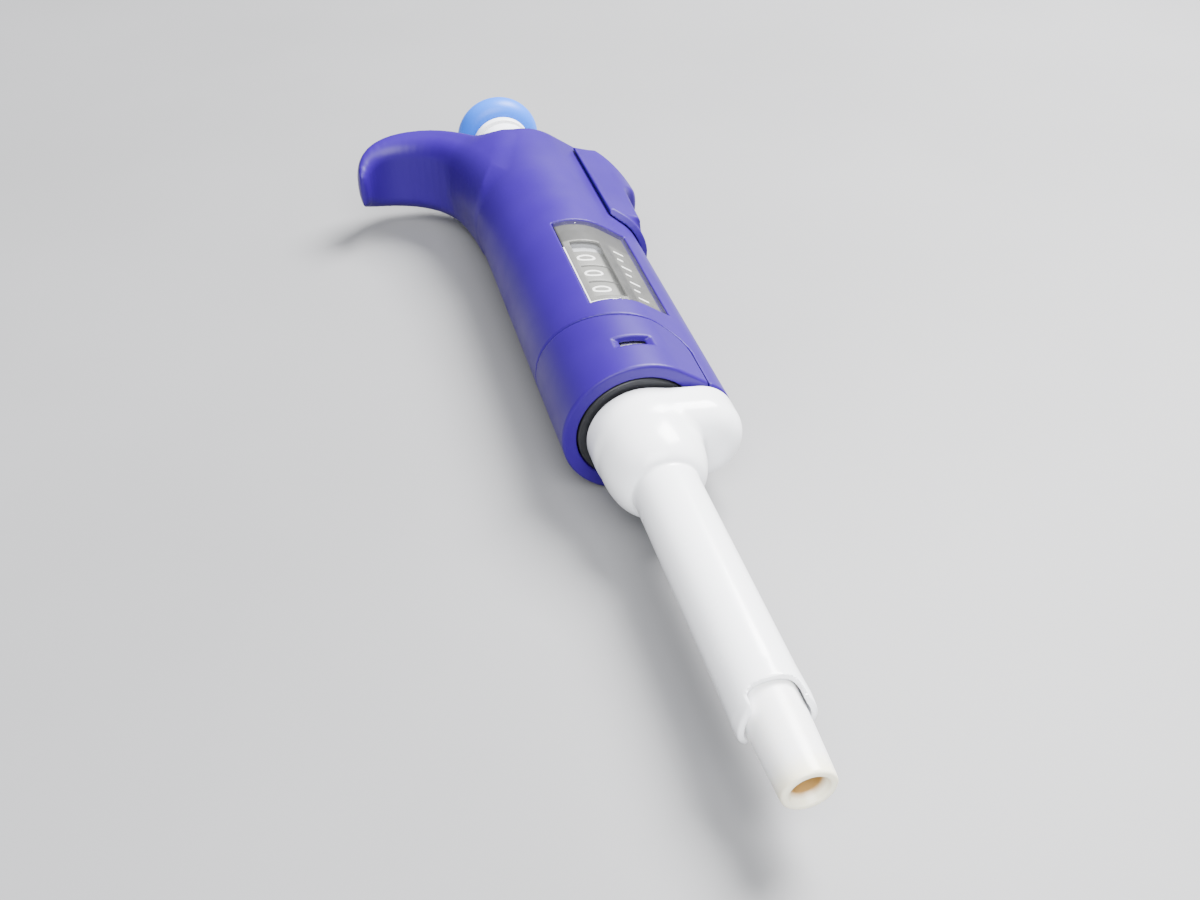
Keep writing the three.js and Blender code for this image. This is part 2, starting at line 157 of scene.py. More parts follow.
def skin(field, xs, ys, zs):
    """Vertices and quads of the surface where the field is zero.

    Each grid cell that the surface crosses holds one vertex, which is then pulled onto the exact surface.
    """
    values = np.broadcast_to(field(xs[:, None, None], ys[None, :, None], zs[None, None, :]),
                             (len(xs), len(ys), len(zs)))
    painted_bore_shade = values < 0
    grids = (xs, ys, zs)
    count = sum(painted_bore_shade[i:len(xs) - 1 + i, j:len(ys) - 1 + j, k:len(zs) - 1 + k].astype(np.int8)
                for i in (0, 1) for j in (0, 1) for k in (0, 1))
    cells = np.argwhere((count > 0) & (count < 8))
    index = np.full(count.shape, -1, np.int64)
    index[tuple(cells.T)] = np.arange(len(cells))
    total = np.zeros((len(cells), 3))
    hits = np.zeros(len(cells))
    quads = []
    for axis in range(3):
        u, w = (axis + 1) % 3, (axis + 2) % 3
        for du in (0, 1):
            for dw in (0, 1):
                low = cells.copy()
                low[:, u] += du
                low[:, w] += dw
                high = low.copy()
                high[:, axis] += 1
                a, b = values[tuple(low.T)], values[tuple(high.T)]
                crossed = (a < 0) != (b < 0)
                t = np.where(crossed, a / np.where(crossed, a - b, 1), 0)
                point = np.stack([grids[d][low[:, d]] for d in range(3)], 1)
                step = grids[axis][high[:, axis]] - grids[axis][low[:, axis]]
                point[:, axis] += t * step
                total += point * crossed[:, None]
                hits += crossed
        first = [slice(None)] * 3
        second = [slice(None)] * 3
        first[axis] = slice(0, -1)
        second[axis] = slice(1, None)
        a, b = painted_bore_shade[tuple(first)], painted_bore_shade[tuple(second)]
        edges = np.argwhere(a != b)
        outward = a[tuple(edges.T)]
        corners = []
        for du, dw in ((-1, -1), (0, -1), (0, 0), (-1, 0)):
            cell = edges.copy()
            cell[:, u] += du
            cell[:, w] += dw
            corners.append(index[tuple(cell.T)])
        quad = np.stack(corners, 1)
        quad[~outward] = quad[~outward][:, ::-1]
        quads.append(quad)
    points = total / hits[:, None]
    size = np.stack([np.diff(grids[d])[cells[:, d]] for d in range(3)], 1)
    for _ in range(PULLS):
        value, slope = field_and_slope(field, points)
        move = -value[:, None] * slope / np.maximum((slope ** 2).sum(1), LEAST_SLOPE)[:, None]
        points = points + np.clip(move, -LONGEST_MOVE * size, LONGEST_MOVE * size)
    return points, np.concatenate(quads)


def field_and_slope(field, points):
    """The field at the points, and its slope measured over a short way h."""
    h = 0.01
    x, y, z = points.T
    value = field(x, y, z)
    slope = np.stack([
        field(x + h, y, z) - field(x - h, y, z),
        field(x, y + h, z) - field(x, y - h, z),
        field(x, y, z + h) - field(x, y, z - h),
    ], 1) / (2 * h)
    return value, slope


def piece(name, points, faces, body, material, slot, *nodes, crease=40):
    """A mesh object from points in the pipette's frame."""
    mesh = bpy.data.meshes.new(name)
    places = (np.asarray(points, float) + ORIGIN) * MM
    mesh.from_pydata(places.tolist(), [], [list(map(int, face)) for face in faces])
    mesh.validate()
    mesh.update()
    mesh.shade_smooth()
    mesh.set_sharp_from_angle(angle=math.radians(crease))
    obj = bpy.data.objects.new(name, mesh)
    bpy.context.scene.collection.objects.link(obj)
    mesh.materials.append(material)
    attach(obj, body)
    if nodes:
        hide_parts(*nodes)
    return obj


def moulded(name, field, xs, ys, zs, body, material, slot, *nodes, crease=40):
    """A piece whose surface is a distance field's zero."""
    points, quads = skin(field, xs, ys, zs)
    return piece(name, points, quads, body, material, slot, *nodes, crease=crease)


ON_AXIS = 1e-6


def turned_mesh(profile, segments):
    """A closed ring from a closed profile of (radius, y) corners; corners on the axis are shared."""
    points, faces, rows = [], [], []
    for r, y in profile:
        if r < ON_AXIS:
            rows.append([len(points)] * segments)
            points.append((0, y, 0))
        else:
            rows.append(list(range(len(points), len(points) + segments)))
            for s in range(segments):
                a = 2 * math.pi * s / segments
                points.append((r * math.sin(a), y, r * math.cos(a)))
    n = len(profile)
    for i in range(n):
        lower, upper = rows[i], rows[(i + 1) % n]
        if profile[i][0] < ON_AXIS and profile[(i + 1) % n][0] < ON_AXIS:
            continue
        for s in range(segments):
            t = (s + 1) % segments
            loop = [lower[s], lower[t], upper[t], upper[s]]
            faces.append([v for k, v in enumerate(loop) if v != loop[k - 1]])
    return points, faces


def filleted(corners, steps):
    """A closed profile from (radius, y, fillet) corners, each corner rounded by its own fillet."""
    out = []
    n = len(corners)
    for i, (r, y, fillet) in enumerate(corners):
        p = np.array([r, y], float)
        a = np.array(corners[i - 1][:2], float) - p
        b = np.array(corners[(i + 1) % n][:2], float) - p
        la, lb = np.linalg.norm(a), np.linalg.norm(b)
        if fillet <= 0 or la < 1e-9 or lb < 1e-9:
            out.append((r, y))
            continue
        a, b = a / la, b / lb
        half = math.acos(max(-1, min(1, float(a @ b)))) / 2
        reach = min(fillet / max(math.tan(half), 1e-6), 0.49 * la, 0.49 * lb)
        radius = reach * math.tan(half)
        middle = p + (a + b) / np.linalg.norm(a + b) * (radius / math.sin(half))
        start, end = p + a * reach - middle, p + b * reach - middle
        turn = math.atan2(start[0] * end[1] - start[1] * end[0], float(start @ end))
        for k in range(steps + 1):
            w = turn * k / steps
            c, s = math.cos(w), math.sin(w)
            q = middle + np.array([c * start[0] - s * start[1], s * start[0] + c * start[1]])
            out.append((max(0.0, float(q[0])), float(q[1])))
    return out


def turned(name, corners, body, material, slot, *nodes, segments=128, steps=4):
    """A piece turned round the long axis from (radius, y, fillet) corners."""
    points, faces = turned_mesh(filleted(corners, steps), segments)
    outward(piece(name, points, faces, body, material, slot, *nodes))


def outward(obj):
    """Turns the faces of a closed mesh outwards."""
    mesh = obj.data
    mesh.calc_loop_triangles()
    co = np.zeros(len(mesh.vertices) * 3)
    mesh.vertices.foreach_get("co", co)
    co = co.reshape(-1, 3)
    tris = np.zeros(len(mesh.loop_triangles) * 3, np.int32)
    mesh.loop_triangles.foreach_get("vertices", tris)
    a, b, c = (co[tris.reshape(-1, 3)[:, i]] - co.mean(0) for i in range(3))
    if (a * np.cross(b, c)).sum() < 0:
        mesh.flip_normals()


# ---------------------------------------------------------------------------
# Materials
# ---------------------------------------------------------------------------
class Nodes:
    """A material with one Principled shader, and short ways to add the nodes that feed it."""

    def __init__(self, name, rough, **sockets):
        self.material = bpy.data.materials.new(name)
        self.material.use_nodes = True
        self.tree = self.material.node_tree
        self.shader = self.tree.nodes["Principled BSDF"]
        self.shader.inputs["Roughness"].default_value = rough
        for key, value in sockets.items():
            self.shader.inputs[key.replace("_", " ")].default_value = value
        self.coordinates = self.tree.nodes.new("ShaderNodeTexCoord").outputs["Object"]

    def add(self, kind, **values):
        node = self.tree.nodes.new(kind)
        for key, value in values.items():
            setattr(node, key, value)
        return node

    def link(self, a, b):
        self.tree.links.new(a, b)

    def noise(self, scale, detail, stretch=None):
        node = self.add("ShaderNodeTexNoise")
        node.inputs["Scale"].default_value = scale
        node.inputs["Detail"].default_value = detail
        source = self.coordinates
        if stretch:
            mapping = self.add("ShaderNodeMapping")
            mapping.inputs["Scale"].default_value = stretch
            self.link(source, mapping.inputs["Vector"])
            source = mapping.outputs["Vector"]
        self.link(source, node.inputs["Vector"])
        return node.outputs["Fac"]

    def span(self, source, low, high, to_low, to_high):
        """The source's range from low to high, stretched to the new range and held at its ends."""
        node = self.add("ShaderNodeMapRange")
        for key, value in zip(("From Min", "From Max", "To Min", "To Max"), (low, high, to_low, to_high)):
            node.inputs[key].default_value = value
        self.link(source, node.inputs["Value"])
        return node.outputs["Result"]

    def along(self, axis):
        """The place along X, Y or Z, in metres."""
        node = self.add("ShaderNodeSeparateXYZ")
        self.link(self.coordinates, node.inputs["Vector"])
        return node.outputs[axis]

    def blend(self, factor, a, b):
        """Colour a where the factor is 0, b where it is 1; each is a colour or a socket."""
        node = self.add("ShaderNodeMix", data_type="RGBA")
        for socket, value in (("A", a), ("B", b)):
            target = [i for i in node.inputs if i.name == socket and i.type == "RGBA"][0]
            if isinstance(value, tuple):
                target.default_value = (*value, 1)
            else:
                self.link(value, target)
        self.link(factor, node.inputs["Factor"])
        return [o for o in node.outputs if o.type == "RGBA"][0]

    def colour(self, source):
        self.link(source, self.shader.inputs["Base Color"])

    def roughness(self, source, low, high):
        self.link(self.span(source, 0.3, 0.7, low, high), self.shader.inputs["Roughness"])

    def bump(self, *layers):
        """Layers of (height socket, strength, distance in metres)."""
        normal = None
        for height, strength, distance in layers:
            node = self.add("ShaderNodeBump")
            node.inputs["Strength"].default_value = strength
            node.inputs["Distance"].default_value = distance
            self.link(height, node.inputs["Height"])
            if normal is not None:
                self.link(normal, node.inputs["Normal"])
            normal = node.outputs["Normal"]
        self.link(normal, self.shader.inputs["Normal"])


def tinted(colour, amount):
    """The colour made darker or lighter."""
    return tuple(min(1.0, c * amount) for c in colour)


SCUFF = 0.06


def plastic(name, colour, rough, spread, grain=2600, grain_strength=0.25, **sockets):
    """Moulded plastic: fine grain, faint flow marks along the mould, and patches rubbed smoother by hands."""
    m = Nodes(name, rough, **sockets)
    cloudy = m.noise(38, 4)
    flow = m.noise(160, 3, (1, 0.15, 1))
    base = m.blend(m.span(cloudy, 0.35, 0.65, 0, 1), tinted(colour, 1 - spread), tinted(colour, 1 + spread))
    streaked = m.blend(m.span(flow, 0.55, 0.75, 0, 0.25), base, tinted(colour, 1 - 2 * spread))
    m.colour(streaked)
    m.roughness(m.noise(70, 5), rough - SCUFF, rough + SCUFF)
    m.bump((m.noise(grain, 2), grain_strength, 0.00003), (m.noise(220, 2), 0.12, 0.00006))
    return m.material


def metal(name, colour, rough, stretch=(1, 1, 1)):
    """Drawn or turned metal: fine lines round or along it, and faint tarnish."""
    m = Nodes(name, rough, Metallic=1.0)
    lines = m.noise(1800, 2, stretch)
    tarnish = m.noise(120, 4)
    m.colour(m.blend(m.span(tarnish, 0.4, 0.7, 0, 1), tinted(colour, 1.04), tinted(colour, 0.82)))
    m.roughness(lines, rough - 0.07, rough + 0.1)
    m.bump((lines, 0.2, 0.00002))
    return m.material


GRIP = (0.022, 0.0026, 0.155)
grip = plastic("violet_shell", GRIP, 0.44, spread=0.07, Specular_IOR_Level=0.24)

# ---------------------------------------------------------------------------
# Shapes shared by the grip, its cover, the window and the ejector button.
# An area is (left, right, low, high) in x and y.
# ---------------------------------------------------------------------------
GRIP_LOW, GRIP_TOP = 89, 205
GRIP_R, CHANNEL_R, CHANNEL_X = 16, 9.5, 11.3
GRIP_EDGE = 7
FLAT_BACK = -15
BORE_R, BORE_TOP, NECK_R = 13.8, 198, 9.8
NECK_ROOM_R = 12.4
ROD_X, ROD_HOLE_R = 17.4, 1.5
SPRING_HOLE_R, SPRING_HOLE_LOW, CHANNEL_TOP = 2.5, 118.5, 164
PRESS_SLOT, PRESS_SLOT_HALF = (15, 24, 162.7, 184.3), 2.2
HOOK_EDGE, HOOK_ROOT = 4.6, 5
WINDOW = (-2.9, 14.6, 114.7, 149.2)
OPENING = (-0.9, 6.2, 117.7, 141.5)
COVER_BORE_R = 13
NUT_GROOVE_R, NUT_GROOVE_Y, NUT_GROOVE_HALF = 14.6, 98.9, 2.6
KEY_X, KEY_Y = 1.7, 98.5
CAP_LOW, CAP_R, CAP_TOP = 224.6, 11.7, 236.4
HOOK_SIDE = curve(
    (-2, 196), (-2, 203.5), (-9, 204.5, -13, 219.8, -27, 220.5), (-36, 221, -44.2, 216, -44.2, 209.0),
    (-44.2, 204.6, -41.4, 203.8, -40.2, 206.8), (-38.2, 211.2, -33, 212.5, -26.5, 209.3),
    (-20, 206, -16.2, 200, -13, 182), (-8, 182),
)
HOOK_ABOVE = curve(
    (-2, -13.2), (-2, 13.2), (-12, 13, -14.6, 11.3, -26, 10.6), (-36, 10, -44.2, 9.6, -44.2, 0),
    (-44.2, -9.6, -36, -10, -26, -10.6), (-14.6, -11.3, -12, -13, -2, -13.2),
)
COVER = curve(
    (-18, 84), (15, 84), (15, 99.6), (15, 104, 11.4, 107.6, 7, 107.6), (-0.3, 108, -8.6, 110, -18, 113.2),
)
LEDGE = curve(
    (15, 197), (19.6, 199.4), (23, 196.5, 26.6, 189.5, 27.8, 182.5),
    (27.8, 180.4, 27.0, 179.5, 26.0, 179.2), (24.6, 178.8, 23.6, 177.6, 23.2, 175.6),
    (22.8, 171, 22.6, 168, 22.2, 160), (15, 160),
)
PANEL = curve(
    (-11, 160), (-8, 157, -4.5, 155.3, 0, 155.3), (4.5, 155.3, 8, 157, 11, 160),
    (11, 195), (8, 198.4, 4.5, 200, 0, 200), (-4.5, 200, -8, 198.4, -11, 195),
)


def widened(area, left, right, low, high):
    """The area with each side moved outwards."""
    return area[0] - left, area[1] + right, area[2] - low, area[3] + high


def grip_section(x, z):
    """Round, with the ejector's channel as a smaller circle beside it."""
    return pair(x, z, GRIP_R, CHANNEL_R, CHANNEL_X)


def grip_outside(x, y, z, gap):
    """The grip without its hook, larger by the gap."""
    return meet(grip_section(x, z) - gap, y - GRIP_TOP - gap, GRIP_EDGE)


def cover_region(x, y, z, grow):
    """The cover's share of the grip; the grip keeps a rib round the ejector rod."""
    rib = np.maximum(12.3 + grow - x, np.abs(z) - 4.7 + grow)
    return np.maximum(polygon(x, y, COVER) - grow, -rib)


def nut_groove(x, y, z):
    """Room for the calibration nut's rim, which reaches close under the key slot."""
    return np.maximum(np.hypot(x, z) - NUT_GROOVE_R, np.abs(y - NUT_GROOVE_Y) - NUT_GROOVE_HALF)


def shell_field(x, y, z):
    """The grip: hook, flat back, bore for the works, channel for the ejector rod, and the window's seat."""
    radius = np.hypot(x, z)
    section = grip_section(x, z)
    hook = meet(polygon(x, y, HOOK_SIDE), polygon(x, z, HOOK_ABOVE), HOOK_EDGE)
    body = join(meet(section, y - GRIP_TOP, GRIP_EDGE), hook, HOOK_ROOT)
    neck_room = np.maximum(radius - NECK_ROOM_R, GRIP_TOP + 0.8 - y)
    body = remove(body, neck_room, 1.0)
    body = meet(body, FLAT_BACK - z, 0.6)
    body = meet(body, GRIP_LOW - y, 0.35)
    bore = np.minimum(np.maximum(radius - BORE_R, y - BORE_TOP), radius - NECK_R)
    channel = np.hypot(x - ROD_X, z)
    guides = np.minimum(np.maximum(channel - SPRING_HOLE_R, SPRING_HOLE_LOW - y), channel - ROD_HOLE_R)
    slot = np.maximum(rectangle(x, y, *PRESS_SLOT), np.abs(z) - PRESS_SLOT_HALF)
    body = remove(body, np.minimum(np.minimum(bore, np.maximum(guides, y - CHANNEL_TOP)), slot), 0.3)
    seat = rectangle(x, y, *widened(WINDOW, 0.32, 0.1, 0.34, 0.14))
    recess = np.maximum(seat, -(section + 1.85))
    opening = rectangle(x, y, *widened(WINDOW, -1.2, -1.4, -1.3, -1.2))
    glazing = np.maximum(np.minimum(recess, opening), 8 - z)
    body = remove(body, glazing, 0.15)
    body = remove(body, nut_groove(x, y, z), 0.2)
    return remove(body, cover_region(x, y, z, 0.3), 0.3)


def cover_field(x, y, z):
    """The lower cover, with the key slot, which narrows inwards."""
    section = grip_section(x, z)
    body = meet(section, GRIP_LOW - y, 0.6)
    body = meet(body, FLAT_BACK - z, 0.6)
    body = meet(body, cover_region(x, y, z, 0), 0.3)
    body = remove(body, np.hypot(x, z) - COVER_BORE_R, 0.3)
    body = remove(body, nut_groove(x, y, z), 0.2)
    taper = np.clip(-section / 1.1, 0, 1)
    wide, tall = 4.3 - 1.5 * taper, 1.55 - 0.35 * taper
    slot = np.maximum(rectangle(x - KEY_X, y - KEY_Y, -wide, wide, -tall, tall), 5 - z)
    return remove(body, slot, 0.3)


def button_field(x, y, z):
    """The ejector button: a panel that follows the grip, and a ledge for the thumb."""
    swell = np.interp(y, [155, 165, 200], [1.0, 0.6, 0.1])
    hull = meet(pair(x, z, 16.5, 10.9, 10.9) - swell, y - 200, 5)
    waist = (np.hypot((x - 13) / 14.8, z / 9.4) - 1) * 9.4
    ledge = meet(polygon(x, y, LEDGE), waist, 0.9)
    body = join(meet(hull, polygon(z, y, PANEL), 0.2), meet(ledge, polygon(z, y, PANEL), 0.5), 1.2)
    body = np.maximum(body, 14.2 - x)
    return remove(body, grip_outside(x, y, z, 0.3), 0.12)


def lens_field(x, y, z):
    """The window: a sheet just under the grip's outside."""
    section = grip_section(x, z)
    sheet = np.maximum(section + 0.08, -0.9 - section)
    return np.maximum(meet(sheet, rectangle(x, y, *WINDOW), 0.25), 8.6 - z)


def mask_field(x, y, z):
    """The plate behind the window, with an opening over the wheels."""
    section = grip_section(x, z)
    sheet = np.maximum(section + 1.1, -1.7 - section)
    area = rectangle(x, y, *widened(WINDOW, -0.1, -0.2, -0.1, -0.1))
    plate = np.maximum(np.maximum(sheet, area), 8.4 - z)
    return remove(plate, rectangle(x, y, *OPENING), 0.2)


SLEEVE = [(6.85, 11.4), (7.05, 14), (6.85, 20), (6.85, 69.2)]
SLEEVE += curve((7.05, 69.6), (9.0, 69.9, 10.8, 74, 10.8, 80), steps=24) + [(10.8, 90)]


def lathe_field(radius, y, profile):
    """Distance to a turned surface that is given as (radius, y) with y rising."""
    r = np.interp(y, [p[1] for p in profile], [p[0] for p in profile])
    h = 0.05
    above = np.interp(y + h, [p[1] for p in profile], [p[0] for p in profile])
    below = np.interp(y - h, [p[1] for p in profile], [p[0] for p in profile])
    return (radius - r) / np.sqrt(1 + ((above - below) / (2 * h)) ** 2)


def sleeve_field(x, y, z):
    """The ejector sleeve: a tube, a collar with a lobe round the rod, and two ears between notches."""
    radius = np.hypot(x, z)
    tube = lathe_field(radius, y, SLEEVE)
    lobe = meet(pair(x, z, 10.79, 9.4, 11.3), 78.2 - y, 5.5)
    body = join(tube, lobe, 1.2)
    body = meet(body, y - 88.6, 0.7)
    body = meet(body, 11.4 + (z / 5.0) ** 2 * 1.1 - y, 0.4)
    cavity = radius - np.interp(y, [69.5, 75], [5.75, 9.3])
    rod = np.maximum(np.hypot(x - ROD_X, z) - ROD_HOLE_R, 82 - y)
    body = remove(body, np.minimum(cavity, rod), 0.25)
    notch = meet(np.abs(x) - 4.6, y - 15.8, 1.6)
    return remove(body, notch, 0.25)


# ---------------------------------------------------------------------------
# Materials of the pieces
# ---------------------------------------------------------------------------
cap_blue = plastic("sky_cap", (0.012, 0.14, 0.72), 0.42, spread=0.04, grain=3200, grain_strength=0.12,
                   Specular_IOR_Level=0.25)
white = plastic("warm_white", (0.86, 0.87, 0.88), 0.3, spread=0.015, grain=3000, grain_strength=0.08)
gloss = plastic("gloss_white", (0.9, 0.91, 0.93), 0.24, spread=0.012, grain=1500, grain_strength=0.06,
                Coat_Weight=0.25, Coat_Roughness=0.08)
inner = plastic("inner_grey", (0.42, 0.43, 0.45), 0.45, spread=0.05)
wheel_grey = plastic("wheel_drum", (0.2, 0.2, 0.188), 0.38, spread=0.03, grain_strength=0.1)
print_and_highlight_white = plastic("white_print_and_highlight", (0.92, 0.92, 0.9), 0.5, spread=0.02, grain_strength=0.1)
steel = metal("spring_steel", (0.62, 0.63, 0.65), 0.25)
nut_metal = metal("plated_nut", (0.66, 0.66, 0.64), 0.3, (6, 1, 6))
turned_brass = metal("turned_brass", (0.72, 0.52, 0.22), 0.3, (1, 12, 1))


def black_plastic():
    """Black moulded plastic with a fine leathery grain and a few specks of dust."""
    m = Nodes("dusty_black", 0.5)
    specks = m.noise(2300, 1)
    haze = m.span(m.noise(90, 4), 0.4, 0.75, 0, 1)
    base = m.blend(haze, (0.004, 0.0045, 0.006), (0.012, 0.013, 0.017))
    m.colour(m.blend(m.span(specks, 0.74, 0.78, 0, 0.4), base, (0.2, 0.21, 0.23)))
    m.roughness(m.noise(150, 4), 0.42, 0.58)
    m.bump((m.noise(1800, 3), 0.3, 0.00004))
    return m.material


def ivory_plastic():
    """White down the shaft, ivory over the nozzle's last few millimetres, and painted brown shade on the
    walls of the orifice's bore.
    """
    m = Nodes("nozzle_ivory", 0.32, Subsurface_Weight=0.12, Subsurface_Scale=0.001)
    m.shader.inputs["Subsurface Radius"].default_value = (1.0, 0.8, 0.5)
    y = m.along("Y")
    low = row((0, NOZZLE_LOW, 0))[1]
    cloudy = m.noise(300, 4)
    end = m.span(y, low + 0.0006, low + 0.0042, 1, 0)
    base = m.blend(end, (0.88, 0.88, 0.88), (0.9, 0.86, 0.68))
    stain = m.blend(m.span(cloudy, 0.55, 0.7, 0, 0.12), base, (0.74, 0.66, 0.45))
    ring = m.add("ShaderNodeVectorMath", operation="MULTIPLY")
    ring.inputs[1].default_value = (1, 0, 1)
    m.link(m.coordinates, ring.inputs[0])
    reach = m.add("ShaderNodeVectorMath", operation="DISTANCE")
    reach.inputs[1].default_value = (ORIGIN[0] * MM, 0, ORIGIN[2] * MM)
    m.link(ring.outputs[0], reach.inputs[0])
    # painted shade: the bore's walls within about 3 mm of the axis are coloured dark brown
    painted_bore_shade = m.span(reach.outputs["Value"], 0.0026, 0.0031, 1, 0)
    m.colour(m.blend(painted_bore_shade, stain, (0.42, 0.25, 0.08)))
    m.roughness(m.noise(90, 4), 0.26, 0.36)
    m.bump((m.noise(1600, 2), 0.08, 0.00003))
    return m.material


def banded_white():
    """White, with painted shade in the groove under the button's ring."""
    m = Nodes("stem_white", 0.3)
    y = m.along("Y")
    groove = row((0, CAP_LOW - 3.2, 0))[1]
    cloudy = m.noise(180, 4)
    pale = m.blend(m.span(cloudy, 0.35, 0.65, 0, 1), (0.85, 0.86, 0.87), (0.88, 0.89, 0.9))
    # painted shade: a thin dark band across the groove under the ring, where shadow falls
    m.colour(m.blend(m.span(y, groove - 0.0001, groove + 0.0001, 0, 1), pale, (0.05, 0.042, 0.035)))
    m.roughness(m.noise(70, 5), 0.24, 0.38)
    m.bump((m.noise(3000, 2), 0.08, 0.00003))
    return m.material


def filter_plug():
    """Pressed granules, amber and brown."""
    m = Nodes("filter_plug", 0.85)
    cells = m.add("ShaderNodeTexVoronoi")
    cells.inputs["Scale"].default_value = 1900
    m.link(m.coordinates, cells.inputs["Vector"])
    grains = cells.outputs["Distance"]
    m.colour(m.blend(m.span(grains, 0.1, 0.7, 0, 1), (0.62, 0.38, 0.12), (0.3, 0.15, 0.035)))
    m.roughness(m.noise(400, 3), 0.75, 0.95)
    m.bump((grains, 0.6, 0.00012))
    return m.material


def window_clear():
    """Clear acrylic, a little hazed with fine scratches."""
    m = Nodes("hazed_acrylic", 0.12, IOR=1.49, Alpha=0.1, Specular_IOR_Level=0.6)
    scratches = m.noise(900, 3, (1, 0.04, 1))
    haze = m.noise(60, 4)
    m.colour(m.blend(m.span(haze, 0.35, 0.65, 0, 1), (0.12, 0.12, 0.117), (0.2, 0.2, 0.195)))
    m.roughness(scratches, 0.08, 0.2)
    m.bump((scratches, 0.06, 0.00001))
    return m.material


def mask_print():
    """The window's plate.

    It is light round the wheels, dark in a band right of them and grey beyond and above, and along its left
    and lower edges it is nearly black, a painted shadow of the window's recess.
    """
    m = Nodes("printed_mask", 0.45)
    x = m.along("X")
    band_low, band_high = row((6.3, 0, 0))[0], row((8.6, 0, 0))[0]
    fade = 0.00025
    into = m.span(x, band_low - fade, band_low + fade, 0, 1)
    out = m.span(x, band_high - fade, band_high + fade, 0, 1)
    cloudy = m.span(m.noise(260, 4), 0.35, 0.65, 0, 1)
    plain = m.blend(cloudy, (0.042, 0.042, 0.04), (0.058, 0.058, 0.056))
    dark = m.blend(cloudy, (0.035, 0.035, 0.034), (0.05, 0.05, 0.048))
    light = m.blend(cloudy, (0.13, 0.13, 0.12), (0.17, 0.17, 0.158))
    top = row((0, OPENING[3] + 0.3, 0))[1]
    above = m.span(m.along("Y"), top - fade, top + fade, 0, 1)
    middling = m.blend(cloudy, (0.075, 0.075, 0.07), (0.11, 0.11, 0.1))
    lower = m.blend(out, m.blend(into, light, dark), middling)
    left, foot = row((-2.4, 0, 0))[0], row((0, 116.1, 0))[1]
    # painted shadow: near black along the window recess's left and lower edges
    painted_edge_shadow = (0.004, 0.004, 0.005)
    edged = m.blend(m.span(x, left - fade, left + fade, 0, 1), painted_edge_shadow, m.blend(above, lower, plain))
    m.colour(m.blend(m.span(m.along("Y"), foot - fade, foot + fade, 0, 1), painted_edge_shadow, edged))
    m.roughness(m.noise(200, 3), 0.38, 0.5)
    m.bump((m.noise(2600, 2), 0.1, 0.00002))
    return m.material


black = black_plastic()
stem_white = banded_white()
ivory = ivory_plastic()
amber = filter_plug()
clear = window_clear()
mask = mask_print()

# ---------------------------------------------------------------------------
# Grip, cover, window and ejector button
# ---------------------------------------------------------------------------
moulded("grip_shell", shell_field,
        stations((-45.2, -17, 0.6), (-17, 21.6, 0.35)),
        stations((88.3, 120, 0.32), (120, 146, 0.5), (146, 152, 0.34), (152, 190, 0.62), (190, 222, 0.46)),
        stations((-15.7, 16.7, 0.4)),
        "handle", grip, "grip_plastic", "handle_shell", crease=100)
moulded("grip_cover", cover_field,
        stations((-16.8, 15.7, 0.33)), stations((88.4, 114.4, 0.33)), stations((-15.7, 16.7, 0.33)),
        "handle", grip, "grip_plastic", "lower_cover", crease=100)
moulded("ejector_press", button_field,
        stations((13.8, 28.5, 0.3)), stations((154.8, 200.6, 0.32)), stations((-11.6, 11.6, 0.3)),
        "ejector", grip, "grip_plastic", "ejector_button", crease=100)
moulded("window_lens", lens_field,
        stations((-3.4, 15.1, 0.28)), stations((114.2, 149.7, 0.4)), stations((8.2, 16.6, 0.28)),
        "handle", clear, "window_clear", "display_window")
moulded("window_mask", mask_field,
        stations((-3.3, 15.0, 0.25)), stations((114.4, 149.6, 0.35)), stations((8.0, 15.6, 0.22)),
        "handle", mask, "mask_plastic", "display_mask")

# ---------------------------------------------------------------------------
# Ejector sleeve and the lower end
# ---------------------------------------------------------------------------
moulded("tip_sleeve", sleeve_field,
        stations((-11.3, 21.2, 0.36)),
        stations((10.9, 21, 0.28), (21, 67, 1.3), (67, 89.2, 0.36)),
        stations((-11.3, 11.3, 0.36)),
        "ejector", gloss, "sleeve_plastic", "ejector_sleeve")
turned("nozzle_cone", [
    (3.55, NOZZLE_LOW, 0.5), (4.75, NOZZLE_LOW, 0.8), (4.9, 1.0, 3), (5.25, 9, 4), (5.4, 16, 6), (5.4, 71, 2),
    (8.9, 78.5, 2), (8.9, 91.3, 0.2), (11.2, 91.3, 0.3), (11.2, 117.1, 0.3), (10.1, 117.1, 0.3),
    (10.1, 92.5, 0.4), (3.4, 91.2, 0.3), (2.6, 84, 1), (2.6, 0.3, 0.6),
], "handle", ivory, "ivory_plastic", "tip_cone", steps=6)
turned("nozzle_filter", [(0, 5.5, 0), (1.7, 5.5, 0.4), (2.35, 6.4, 0.4), (2.35, 11, 0.2), (0, 11, 0)],
       "handle", amber, "filter", "tip_filter", segments=64)
turned("collar_ring", [
    (9.3, 89, 0.3), (12.7, 89, 0.45), (12.7, 95.8, 0.3), (11.5, 95.8, 0.3), (11.5, 91, 0.3), (9.3, 91, 0.3),
], "handle", black, "black_plastic", "retaining_ring")

turned("trim_nut", [
    (11.5, 96.2, 0.2), (12.7, 96.2, 0.2), (12.7, 96.9, 0), (14.3, 96.9, 0.3),
    (14.3, 101, 0.3), (12.7, 101, 0), (12.7, 106.3, 0.2), (11.5, 106.3, 0.2),
], "calibrator", nut_metal, "inner_plastic", "calibration_nut")

